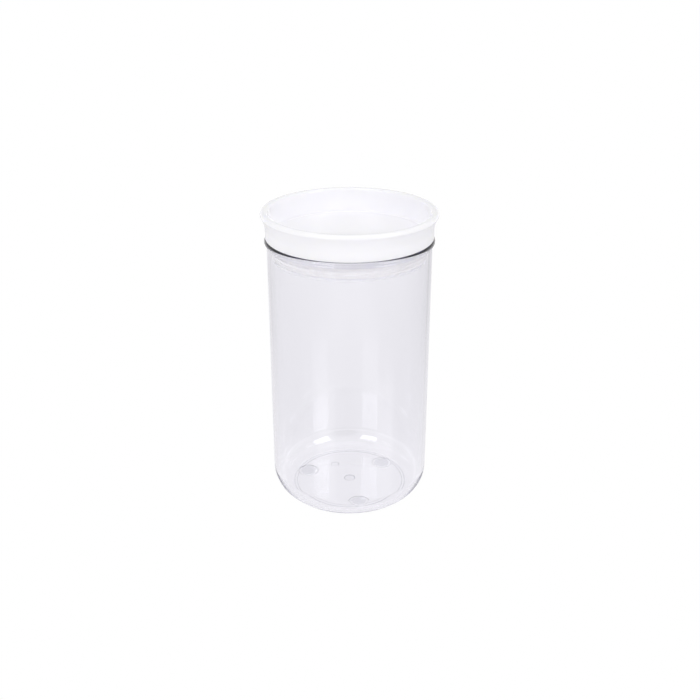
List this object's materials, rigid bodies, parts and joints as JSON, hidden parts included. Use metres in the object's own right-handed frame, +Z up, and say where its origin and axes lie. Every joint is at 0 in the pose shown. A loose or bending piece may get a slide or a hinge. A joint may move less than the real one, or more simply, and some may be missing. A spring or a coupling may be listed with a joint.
{
  "type": "food canister",
  "caption": "Tall round clear storage jar with a rounded base and a white push-in lid that has a flared rim, a shallow dish on top and a finned seal ring.",
  "frame": {"origin": "on the canister's axis, on the surface that its feet stand on", "axes": "+Z up along the canister's axis; -Y towards the viewer of the picture, +X to the viewer's right"},
  "size_m": [0.1068, 0.1068, 0.1881],
  "materials": {
    "clear_plastic": "clear moulded plastic, polished",
    "white_plastic": "white moulded plastic, slightly translucent, soft gloss",
    "seal_silicone": "off-white silicone, satin",
    "foot_elastomer": "clear soft elastomer, satin"
  },
  "bodies": {
    "jar": {"jar": "clear_plastic", "foot_right": "foot_elastomer", "foot_left": "foot_elastomer", "foot_front": "foot_elastomer"},
    "lid": {"lid": "white_plastic", "seal_ring": "seal_silicone"}
  },
  "joints": [
    {"name": "lid_lift", "type": "slide", "parent": "jar", "child": "lid", "axis": [0, 0, 1], "range_m": [0, 0.05]}
  ]
}
